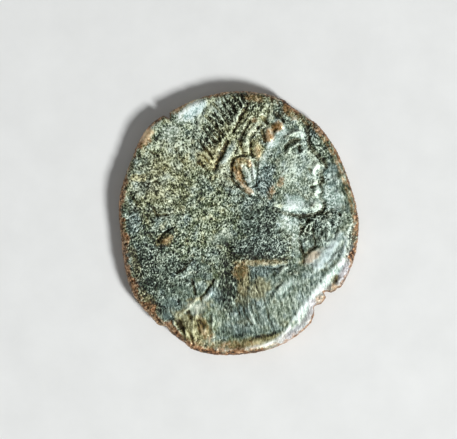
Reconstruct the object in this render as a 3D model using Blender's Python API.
"""A late Roman struck bronze coin, lying with its portrait side up.

The flan is one solid: a worn portrait face on top, a rounded rim with a rolled
lip and a chipped edge, and a plainer wreath face underneath, worn flat where
the coin rests. Lengths are written in millimetres and scaled to metres when
the mesh is made. +Y points to the top of the portrait and the portrait looks
towards +X.
"""

import math

import bmesh
import bpy
import numpy as np

MM = 0.001

# Mesh density: cells from the middle of a face to its edge, and rows round the rim
PORTRAIT_CELLS = 28
WREATH_CELLS = 14
RIM_ROWS = 3

# The flan: its edge as (degrees, radius), its thickness and its rounded rim
FLAN_EDGE = (
    (0, 7.75), (18, 7.60), (45, 7.98), (70, 8.39), (92, 8.40), (117, 8.31), (134, 8.39),
    (150, 7.93), (170, 7.76), (188, 7.58), (206, 7.95), (215, 8.21), (226, 8.27), (250, 8.70),
    (272, 8.51), (295, 8.29), (307, 8.00), (325, 7.85), (340, 7.83),
)
FIELD_HEIGHT = 1.14
RIM_MIDDLE = 0.55
RIM_ROUNDING = 0.42
RESTING_EDGE_LIFT, RESTING_EDGE_WIDTH = 0.22, 1.3
UNDER_ROLL_END = 30.0

# Bites out of the edge: (degrees, half width, blend, depth)
EDGE_BITES = (
    (-43.5, 9.0, 5.0, 0.40),
    (-47.0, 2.6, 2.6, 0.18),
    (-38.8, 2.0, 1.4, 0.32),
    (-50.5, 3.5, 1.8, 0.14),
    (-35.2, 3.0, 2.0, 0.17),
    (61.0, 9.0, 5.0, 0.16),
    (123.5, 1.8, 1.6, 0.34),
    (236.0, 2.6, 2.4, 0.08),
    (240.5, 9.5, 5.0, 0.20),
)

# The rolled lip along the lower right edge: (degrees, crest's distance from the edge)
LIP_CREST = (
    (-110, 0.40), (-80, 0.42), (-70, 0.60), (-64, 0.88), (-58, 1.12), (-50, 1.25), (-44, 1.32),
    (-36, 1.26), (-28, 1.15), (-20, 0.82), (-12, 0.82), (-5, 0.72), (4, 0.42), (90, 0.40),
    (180, 0.40),
)
LIP_CREST_TURN = tuple(sorted((degrees % 360, inset) for degrees, inset in LIP_CREST))
LIP_FROM, LIP_TO, LIP_FADE = -108.0, 6.0, 16.0
LIP_RISE, LIP_INNER_SLOPE, LIP_DROP, LIP_CURVE = 0.08, 1.30, 0.24, 1.5

# The head: place, height and tilt on the flan; its outline is in head heights,
# forwards and upwards from the middle of the head
HEAD_CENTRE = (0.95, 4.10)
HEAD_HEIGHT = 8.6
HEAD_TILT = math.radians(12.0)
HEAD_RISE, HEAD_DETAIL_FADE = 0.26, 0.35
NAPE_AT, BROW_AT = -0.4, 0.2
NAPE_SHOULDER, BROW_SHOULDER = 2.6, 0.9
PROFILE_FROM, PROFILE_FADE, PROFILE_SLOPE = 0.24, 0.08, 0.42
PROFILE_GROOVE, PROFILE_GROOVE_INSET, PROFILE_HALF_WIDTH = 0.08, 0.12, 0.26
JAW_BELOW, JAW_BELOW_FADE, JAW_BACK, JAW_BACK_FADE = -0.25, 0.10, -0.05, 0.30
HEAD_OUTLINE = (
    (-0.27, -0.30), (-0.39, -0.12), (-0.44, 0.08), (-0.38, 0.30), (-0.21, 0.46),
    (0.02, 0.50), (0.22, 0.45), (0.34, 0.33), (0.41, 0.20), (0.435, 0.085),
    (0.415, 0.02), (0.455, -0.08), (0.51, -0.165), (0.45, -0.215), (0.455, -0.26),
    (0.435, -0.30), (0.445, -0.34), (0.415, -0.385), (0.435, -0.44), (0.37, -0.50),
    (0.20, -0.46), (0.04, -0.38),
)

# Swellings of the face, in head heights:
# (forward, up, half length, half width, degrees, rise)
FACE_FORMS = (
    (0.22, -0.17, 0.17, 0.13, 70, 0.12),      # cheek
    (0.375, 0.100, 0.12, 0.040, -6, 0.10),    # brow
    (0.345, 0.015, 0.11, 0.072, -5, -0.12),   # eye socket
    (0.335, -0.006, 0.060, 0.036, -5, 0.13),  # eye
    (0.455, -0.13, 0.12, 0.042, 62, 0.10),    # nose
    (0.425, -0.275, 0.060, 0.028, 5, 0.08),   # upper lip
    (0.415, -0.338, 0.056, 0.028, -8, 0.08),  # lower lip
    (0.385, -0.435, 0.07, 0.055, 0, 0.10),    # chin
    (0.14, -0.40, 0.24, 0.055, -14, 0.08),    # jaw
)

# Combed hair: grooves run from the crown's edge down to the diadem
CROWN_EDGE = ((-2.75, 3.75), (-2.45, 5.25), (-2.20, 6.50), (-1.65, 7.45), (-0.80, 8.15), (0.15, 8.50))
BAND_EDGE = ((-1.85, 3.05), (-1.50, 4.45), (-1.10, 5.40), (-0.60, 6.15), (0.05, 6.85), (0.85, 7.55))
HAIR_GROOVES, HAIR_HALF_WIDTH, HAIR_CUT = 9, 0.22, 0.13
HAIR_START, HAIR_END = 0.10, 0.88

# The diadem: a beaded band and plain ridges with grooves between: (half width, rise, points)
DIADEM_LINES = (
    (0.28, 0.09, ((-1.98, 3.60), (-0.98, 5.22), (0.28, 7.20))),
    (0.25, -0.15, ((-1.52, 3.25), (-0.98, 4.50), (-0.72, 5.05))),
    (0.24, -0.14, ((-0.30, 5.80), (0.16, 6.60), (0.55, 7.45))),
    (0.28, 0.08, ((-1.22, 3.05), (-0.18, 4.85), (0.85, 6.75), (1.20, 7.44))),
    (0.22, -0.12, ((-0.22, 4.45), (0.32, 5.60), (0.80, 6.45))),
    (0.24, 0.08, ((0.10, 4.45), (0.90, 5.90), (1.67, 7.31))),
)

# Locks in front of the diadem, each rounded at the brow: (x, y, lean, length)
CURLS = (
    (0.62, 4.85, -80.0, 0.45), (1.25, 4.62, -88.0, 0.75), (1.98, 5.60, -72.0, 0.42),
    (2.62, 6.25, -60.0, 0.34), (2.05, 6.70, -58.0, 0.35), (2.95, 6.95, -50.0, 0.35),
)
CURL_HALF_WIDTH, CURL_RISE = 0.34, 0.15

# The ear: a bent rim with a groove round it
EAR_RIM = ((0.80, 4.02), (0.30, 4.02), (-0.10, 3.50), (-0.05, 2.85), (0.36, 2.25), (0.85, 1.85))
EAR_GROOVE = ((0.55, 4.40), (-0.32, 4.05), (-0.50, 3.40), (-0.34, 2.75), (0.14, 2.06), (0.75, 1.56))
EAR_LINES = ((0.28, 0.13, EAR_RIM), (0.22, -0.13, EAR_GROOVE))

# The neck and the draped bust
NECK_OUTLINE = (
    (-0.95, 2.2), (-0.85, 0.6), (-0.72, -0.8), (-0.80, -2.0), (-0.6, -3.0), (1.6, -3.3),
    (3.8, -3.0), (4.15, -2.1), (3.80, -1.2), (3.90, -0.2), (4.50, 0.5), (3.6, 1.7), (1.0, 3.0),
)
NECK_RISE, NECK_SHOULDER = 0.17, 1.5
CHEST_OUTLINE = (
    (-0.12, -2.35), (1.9, -2.38), (3.9, -2.32), (5.2, -1.85), (6.4, -1.25), (8.2, -1.1),
    (9.4, -4.0), (7.0, -8.2), (3.0, -9.8), (-0.6, -9.4), (-0.25, -7.4), (-0.10, -4.8),
)
CHEST_RISE, CHEST_SHOULDER = 0.22, 1.1
SHOULDER_OUTLINE = (
    (-1.00, -3.10), (-1.80, -3.95), (-2.60, -4.60), (-3.50, -5.55), (-4.50, -6.60), (-5.20, -8.60),
    (-2.0, -9.6), (-0.9, -8.0), (-0.95, -5.6),
)
SHOULDER_RISE, SHOULDER_SHOULDER = 0.16, 1.6

# Lines of the dress and the near shoulder: (half width, rise, points)
DRESS_LINES = (
    (0.30, -0.06, ((-0.35, -2.12), (0.60, -2.24), (1.80, -2.22), (3.30, -2.34))),  # above the collar
    (0.28, 0.05, ((-0.05, -2.58), (1.40, -2.62), (2.90, -2.66))),               # collar
    (0.50, 0.04, ((0.42, -2.80), (0.40, -4.00), (0.50, -5.00))),                # cloak's band
    (0.26, -0.06, ((-0.16, -2.60), (-0.14, -4.00), (0.04, -5.10))),
    (0.22, -0.09, ((0.28, -5.05), (0.42, -5.80), (0.78, -6.60))),               # folds
    (0.22, -0.08, ((0.98, -5.05), (1.12, -5.65), (1.42, -6.50))),
    (0.22, -0.08, ((1.60, -4.95), (1.84, -5.60), (2.20, -6.60))),
    (0.26, 0.06, ((2.35, -4.70), (2.70, -4.25), (3.10, -3.90))),                # pleats
    (0.24, 0.06, ((2.50, -3.45), (2.80, -3.10), (3.10, -2.85))),
    (0.36, 0.10, ((4.45, -2.45), (4.75, -2.20), (5.10, -1.98))),                # far shoulder
    (0.60, 0.08, ((5.05, -2.75), (5.45, -2.20), (5.90, -1.60), (6.20, -1.20))),
    (0.24, -0.10, ((4.15, -2.60), (4.12, -2.25), (4.50, -1.85), (5.00, -1.60))),
    (0.22, -0.12, ((-2.95, -3.62), (-2.88, -4.10), (-2.74, -4.56))),            # near shoulder
    (0.22, -0.13, ((-2.30, -4.66), (-1.92, -4.18), (-1.55, -3.76))),
    (0.26, 0.08, ((-4.00, -6.45), (-3.30, -5.60), (-2.65, -4.90))),
    (0.24, 0.06, ((-2.02, -4.80), (-1.60, -4.40), (-1.25, -3.95))),
    (0.22, 0.08, ((-2.88, -6.45), (-2.70, -7.50))),
    (0.22, 0.08, ((-3.35, -6.95), (-3.02, -7.80))),
    (0.28, -0.12, ((-3.22, -5.82), (-3.12, -6.02))),
    (0.28, -0.12, ((-3.72, -6.35), (-3.60, -6.75))),
    (0.30, 0.10, ((-2.10, -6.80), (-1.95, -7.10))),
    (0.22, -0.10, ((-3.85, -3.25), (-3.45, -2.95), (-2.95, -2.45))),
)

# Rows of plain strokes where an inscription would run, round the die's own centre
DIE_CENTRE = (0.95, 1.50)
STROKE_RADIUS, STROKE_LENGTH, STROKE_HALF_WIDTH, STROKE_RISE = 6.0, 1.10, 0.32, 0.11
LEFT_STROKES = (150.0, 226.0, 8)
RIGHT_STROKES = (14.0, -8.0, 3)
STROKE_LEANS = (10.0, -14.0, 0.0, 12.0, -10.0, 22.0, -8.0, 0.0)

# The crusted hollow in front of the neck
CRUST_CENTRE, CRUST_RADII, CRUST_DEPTH = (5.20, -0.50), (1.45, 1.65), 0.12
CRUST_LINES = (
    (0.24, -0.13, ((4.60, 0.15), (4.10, -0.25), (3.88, -1.05), (4.25, -2.10))),
    (0.22, -0.10, ((4.75, 0.35), (5.50, 0.65), (6.25, 0.75))),
    (0.26, 0.10, ((5.40, 0.10), (5.70, -0.15), (5.75, -0.75))),
)

# The underside: a worn wreath round rows of slanting strokes, seen from below;
# its heights are shares of the field's distance from the table
WREATH_FIELD = 0.16
WREATH_RADIUS, WREATH_HALF_WIDTH = 5.5, 0.80
WREATH_LEAVES, LEAF_TWIST, LEAF_GAP_HEIGHT, LEAF_HEIGHT = 22, 2.2, 1.25, 1.75
PELLET_RADIUS, PELLET_HEIGHT, UNDER_STROKE_HEIGHT = 1.5, 1.6, 0.9
UNDER_STROKE_ROWS = (2.4, 0.0, -2.4)
UNDER_STROKE_COLUMNS = (-2.1, 2.1, -0.7, 0.7)
UNDER_STROKE_LEAN, UNDER_STROKE_LENGTH, UNDER_STROKE_HALF_WIDTH = 68.0, 1.3, 0.30

PATINA_COLOUR = (0.21, 0.24, 0.18, 1.0)
PATINA_ROUGHNESS, PATINA_METALLIC = 0.55, 0.35


def bell(distance):
    """A soft bump: 1 at 0, down to 0 at 1 and beyond."""
    near = np.clip(1.0 - distance * distance, 0.0, 1.0)
    return near * near


def ease(amount):
    """0 to 1 with soft ends."""
    amount = np.clip(amount, 0.0, 1.0)
    return amount * amount * (3.0 - 2.0 * amount)


def shoulder(depth):
    """How carved relief rises from its edge: steep first, then level."""
    near = np.clip(depth, 0.0, 1.0)
    return np.sqrt(near * (2.0 - near))


def around(knots, degrees):
    """A smooth closed curve of values through (degrees, value) knots."""
    angle = np.array([knot[0] for knot in knots], dtype=float)
    value = np.array([knot[1] for knot in knots], dtype=float)
    angle = np.concatenate((angle - 360.0, angle, angle + 360.0))
    value = np.tile(value, 3)
    slope = np.gradient(value, angle)
    first = np.searchsorted(angle, degrees, side="right") - 1
    span = angle[first + 1] - angle[first]
    t = (degrees - angle[first]) / span
    start = (1.0 + 2.0 * t) * (1.0 - t) ** 2 * value[first]
    end = t * t * (3.0 - 2.0 * t) * value[first + 1]
    leave = t * (1.0 - t) ** 2 * span * slope[first]
    arrive = t * t * (t - 1.0) * span * slope[first + 1]
    return start + end + leave + arrive


def turn_between(degrees, centre):
    """Degrees from an angle, by the short way round."""
    return np.abs((degrees - centre + 180.0) % 360.0 - 180.0)


def edge_radius(degrees):
    """Distance from the middle of the flan to its edge, bites and all."""
    radius = around(FLAN_EDGE, degrees % 360.0)
    for centre, half_width, blend, depth in EDGE_BITES:
        inside = (half_width - turn_between(degrees, centre)) / blend
        radius = radius - depth * ease(inside)
    return radius


def closed_curve(points, steps=4):
    """Points along a smooth closed curve through the given ones."""
    points = np.array(points, dtype=float)
    before, after, later = np.roll(points, 1, 0), np.roll(points, -1, 0), np.roll(points, -2, 0)
    rows = []
    for step in range(steps):
        t = step / steps
        rows.append(0.5 * (2 * points + (after - before) * t
                           + (2 * before - 5 * points + 4 * after - later) * t ** 2
                           + (3 * points - before - 3 * after + later) * t ** 3))
    return np.stack(rows, axis=1).reshape(-1, 2)


def distance_to_path(x, y, path):
    """Distance from each (x, y) to a chain of straight runs."""
    nearest = np.full(x.shape, 1e9)
    for (ax, ay), (bx, by) in zip(path[:-1], path[1:]):
        run_x, run_y = bx - ax, by - ay
        share = ((x - ax) * run_x + (y - ay) * run_y) / (run_x ** 2 + run_y ** 2)
        share = np.clip(share, 0.0, 1.0)
        nearest = np.minimum(nearest, np.hypot(x - ax - share * run_x, y - ay - share * run_y))
    return nearest


def depth_inside(x, y, outline):
    """Distance inwards from a closed outline, negative outside it."""
    ring = np.vstack((outline, outline[:1]))
    inside = np.zeros(x.shape, dtype=bool)
    for (ax, ay), (bx, by) in zip(ring[:-1], ring[1:]):
        if ay == by:
            continue
        crosses = (ay > y) != (by > y)
        inside ^= crosses & (x < ax + (y - ay) / (by - ay) * (bx - ax))
    return np.where(inside, 1.0, -1.0) * distance_to_path(x, y, ring)


def dome(x, y, centre_x, centre_y, half_length, half_width, degrees, rise):
    """A turned oval swelling, or a hollow if its rise is negative."""
    turn = math.radians(degrees)
    along = (x - centre_x) * math.cos(turn) + (y - centre_y) * math.sin(turn)
    across = (y - centre_y) * math.cos(turn) - (x - centre_x) * math.sin(turn)
    return rise * bell(np.hypot(along / half_length, across / half_width))


def bar(x, y, middle, degrees, length, half_width):
    """A straight stroke with round ends, 0 to 1 high."""
    step_x = 0.5 * length * math.cos(math.radians(degrees))
    step_y = 0.5 * length * math.sin(math.radians(degrees))
    ends = ((middle[0] - step_x, middle[1] - step_y), (middle[0] + step_x, middle[1] + step_y))
    return bell(distance_to_path(x, y, ends) / half_width)


def carve(x, y, lines):
    """Ridges and grooves along lines, each with its own width and rise."""
    height = np.zeros(x.shape)
    for half_width, rise, points in lines:
        height = height + rise * bell(distance_to_path(x, y, points) / half_width)
    return height


def along_profile(forward, up):
    """0 to 1 along the profile, from the brow to under the jaw."""
    jaw = ease((JAW_BELOW - up) / JAW_BELOW_FADE) * ease((forward - JAW_BACK) / JAW_BACK_FADE)
    return np.maximum(ease((forward - PROFILE_FROM) / PROFILE_FADE), jaw)


def head_relief(x, y):
    """The head's own swell, and all that is carved on it: face, diadem, hair and ear."""
    off_x, off_y = x - HEAD_CENTRE[0], y - HEAD_CENTRE[1]
    forward = (off_x * math.cos(HEAD_TILT) + off_y * math.sin(HEAD_TILT)) / HEAD_HEIGHT
    up = (off_y * math.cos(HEAD_TILT) - off_x * math.sin(HEAD_TILT)) / HEAD_HEIGHT
    depth = depth_inside(forward, up, closed_curve(HEAD_OUTLINE)) * HEAD_HEIGHT
    towards_brow = ease((forward - NAPE_AT) / (BROW_AT - NAPE_AT))
    width = NAPE_SHOULDER + (BROW_SHOULDER - NAPE_SHOULDER) * towards_brow
    rise = shoulder(depth / width)
    rise = rise + along_profile(forward, up) * (ease(depth / PROFILE_SLOPE) - rise)
    detail = band_and_hair(x, y) + carve(x, y, EAR_LINES)
    for form in FACE_FORMS:
        detail = detail + dome(forward, up, *form)
    hollow = bell((depth + PROFILE_GROOVE_INSET) / PROFILE_HALF_WIDTH)
    groove = PROFILE_GROOVE * along_profile(forward, up) * hollow
    detail = ease(depth / HEAD_DETAIL_FADE) * detail - groove
    return HEAD_RISE * rise, detail


def point_along(path, share):
    """The point a share of the way along a chain of straight runs."""
    path = np.array(path)
    step = np.hypot(*np.diff(path, axis=0).T)
    far = np.concatenate(((0.0,), np.cumsum(step))) / step.sum()
    return np.array((np.interp(share, far, path[:, 0]), np.interp(share, far, path[:, 1])))


def band_and_hair(x, y):
    """Combed hair on the crown, the diadem, and curls in front of it."""
    height = carve(x, y, DIADEM_LINES)
    for index in range(HAIR_GROOVES):
        share = index / (HAIR_GROOVES - 1)
        crown, band = point_along(CROWN_EDGE, share), point_along(BAND_EDGE, share)
        ends = (crown + (band - crown) * HAIR_START, crown + (band - crown) * HAIR_END)
        height = height + carve(x, y, ((HAIR_HALF_WIDTH, -HAIR_CUT, ends),))
    for middle_x, middle_y, lean, length in CURLS:
        curl = bar(x, y, (middle_x, middle_y), lean, length, CURL_HALF_WIDTH)
        height = height + CURL_RISE * curl
    return height


def bust_relief(x, y):
    """The swell of the neck, the chest and the near shoulder."""
    neck = NECK_RISE * ease(depth_inside(x, y, closed_curve(NECK_OUTLINE)) / NECK_SHOULDER)
    depth = depth_inside(x, y, closed_curve(SHOULDER_OUTLINE))
    near = SHOULDER_RISE * ease(depth / SHOULDER_SHOULDER)
    depth = depth_inside(x, y, closed_curve(CHEST_OUTLINE))
    chest = CHEST_RISE * ease(depth / CHEST_SHOULDER)
    return np.maximum(neck, np.maximum(near, chest))


def stroke_row(x, y, first, last, count):
    """Short raised strokes standing round the die's centre."""
    height = np.zeros(x.shape)
    for index in range(count):
        place = first + (last - first) * index / (count - 1)
        middle = (DIE_CENTRE[0] + STROKE_RADIUS * math.cos(math.radians(place)),
                  DIE_CENTRE[1] + STROKE_RADIUS * math.sin(math.radians(place)))
        lean = place + STROKE_LEANS[index % len(STROKE_LEANS)]
        height = np.maximum(height, bar(x, y, middle, lean, STROKE_LENGTH, STROKE_HALF_WIDTH))
    return STROKE_RISE * height


def lip_relief(x, y):
    """The crest along the lower right edge and the long slope outside it."""
    degrees = np.degrees(np.arctan2(y, x))
    crest = around(LIP_CREST_TURN, degrees % 360.0)
    inside = around(FLAN_EDGE, degrees % 360.0) - np.hypot(x, y) - crest
    along = ease((degrees - LIP_FROM) / LIP_FADE) * ease((LIP_TO - degrees) / LIP_FADE)
    outward = np.clip(-inside / crest, 0.0, 1.0)
    roll = LIP_RISE * bell(np.maximum(inside, 0.0) / LIP_INNER_SLOPE)
    return along * (roll - LIP_DROP * outward ** LIP_CURVE)


def portrait_height(x, y):
    """Height of the portrait face above the table."""
    crust = np.hypot((x - CRUST_CENTRE[0]) / CRUST_RADII[0], (y - CRUST_CENTRE[1]) / CRUST_RADII[1])
    hollow = carve(x, y, CRUST_LINES) - CRUST_DEPTH * bell(crust)
    strokes = stroke_row(x, y, *LEFT_STROKES) + stroke_row(x, y, *RIGHT_STROKES)
    head, head_detail = head_relief(x, y)
    relief = np.maximum(head, bust_relief(x, y)) + head_detail + carve(x, y, DRESS_LINES)
    relief = np.where(strokes > 0.0, np.maximum(relief, strokes), relief)
    return FIELD_HEIGHT + relief + lip_relief(x, y) + hollow


def wreath_height(x, y):
    """Height of the underside above the table, worn level where it touches."""
    seen_x = -x
    radius = np.hypot(seen_x, y)
    turn = np.arctan2(y, seen_x)
    leaves = 0.5 + 0.5 * np.cos(WREATH_LEAVES * turn + LEAF_TWIST * radius)
    ring = LEAF_GAP_HEIGHT + (LEAF_HEIGHT - LEAF_GAP_HEIGHT) * leaves
    raised = ring * bell((radius - WREATH_RADIUS) / WREATH_HALF_WIDTH)
    raised = np.maximum(raised, PELLET_HEIGHT * bell(radius / PELLET_RADIUS))
    for row in UNDER_STROKE_ROWS:
        columns = UNDER_STROKE_COLUMNS if row else UNDER_STROKE_COLUMNS[:2]
        for column in columns:
            stroke = bar(seen_x, y, (column, row), UNDER_STROKE_LEAN, UNDER_STROKE_LENGTH,
                         UNDER_STROKE_HALF_WIDTH)
            raised = np.maximum(raised, UNDER_STROKE_HEIGHT * stroke)
    inset = edge_radius(np.degrees(np.arctan2(y, x))) - radius
    edge = (RESTING_EDGE_LIFT - WREATH_FIELD) * ease(1.0 - inset / RESTING_EDGE_WIDTH)
    return np.maximum(0.0, WREATH_FIELD * (1.0 - raised)) + edge


def disc_from_square(points):
    """Square grid points, -1 to 1, as (share of the radius, degrees) on a disc."""
    x, y = points[:, 0], points[:, 1]
    share = np.maximum(np.abs(x), np.abs(y))
    safe = np.where(share > 0.0, share, 1.0)
    on_side = np.abs(x) >= np.abs(y)
    side_turn = np.where(x >= 0.0, 45.0 * y / safe, 180.0 - 45.0 * y / safe)
    end_turn = np.where(y >= 0.0, 90.0 - 45.0 * x / safe, 270.0 + 45.0 * x / safe)
    return share, np.where(on_side, side_turn, end_turn)


def add_face(mesh, cells, height):
    """Adds one face of the flan and returns its outer edges."""
    before = set(mesh.edges)
    grid = bmesh.ops.create_grid(mesh, x_segments=2 * cells, y_segments=2 * cells, size=1.0)
    points = np.array([vert.co[:] for vert in grid["verts"]])
    share, degrees = disc_from_square(points)
    radius = share * (edge_radius(degrees) - RIM_ROUNDING)
    x, y = radius * np.cos(np.radians(degrees)), radius * np.sin(np.radians(degrees))
    for vert, place in zip(grid["verts"], np.column_stack((x, y, height(x, y)))):
        vert.co = place
    return [edge for edge in mesh.edges if edge not in before and edge.is_boundary]


def roll_over(mesh, edges, rows, last_degrees):
    """Rolls a face's outer edge out to the rim, as a quarter round."""
    steps = np.radians(np.linspace(90.0, last_degrees, rows + 1))
    for before, now in zip(steps[:-1], steps[1:]):
        grown = bmesh.ops.extrude_edge_only(mesh, edges=edges)["geom"]
        edges = [item for item in grown if isinstance(item, bmesh.types.BMEdge)]
        verts = [item for item in grown if isinstance(item, bmesh.types.BMVert)]
        turn = np.array([math.atan2(vert.co.y, vert.co.x) for vert in verts])
        radius = edge_radius(np.degrees(turn)) - RIM_ROUNDING * (1.0 - math.cos(now))
        for vert, angle, reach in zip(verts, turn, radius):
            above = (vert.co.z - RIM_MIDDLE) * math.sin(now) / math.sin(before)
            vert.co = (reach * math.cos(angle), reach * math.sin(angle), RIM_MIDDLE + above)
    return edges


def bronze():
    """Bronze under a dull grey-green patina."""
    material = bpy.data.materials.new("patinated_bronze")
    material.use_nodes = True
    shader = material.node_tree.nodes["Principled BSDF"]
    shader.inputs["Base Color"].default_value = PATINA_COLOUR
    shader.inputs["Roughness"].default_value = PATINA_ROUGHNESS
    shader.inputs["Metallic"].default_value = PATINA_METALLIC
    return material


def make_coin(collection):
    """Both faces of the flan, their rolled edges and the band that joins them."""
    mesh = bmesh.new()
    top = add_face(mesh, PORTRAIT_CELLS, portrait_height)
    top = roll_over(mesh, top, RIM_ROWS, 0.0)
    under = add_face(mesh, WREATH_CELLS, wreath_height)
    under = roll_over(mesh, under, RIM_ROWS - 1, UNDER_ROLL_END)
    bmesh.ops.bridge_loops(mesh, edges=top + under)
    bmesh.ops.triangulate(mesh, faces=mesh.faces)
    bmesh.ops.scale(mesh, vec=(MM, MM, MM), verts=mesh.verts)
    bmesh.ops.recalc_face_normals(mesh, faces=mesh.faces)
    data = bpy.data.meshes.new("coin")
    mesh.to_mesh(data)
    mesh.free()
    data.shade_smooth()
    data.materials.append(bronze())
    collection.objects.link(bpy.data.objects.new("coin", data))


def main():
    for item in list(bpy.data.objects):
        bpy.data.objects.remove(item, do_unlink=True)
    collection = bpy.data.collections.new("roman_bronze_coin")
    bpy.context.scene.collection.children.link(collection)
    make_coin(collection)


main()
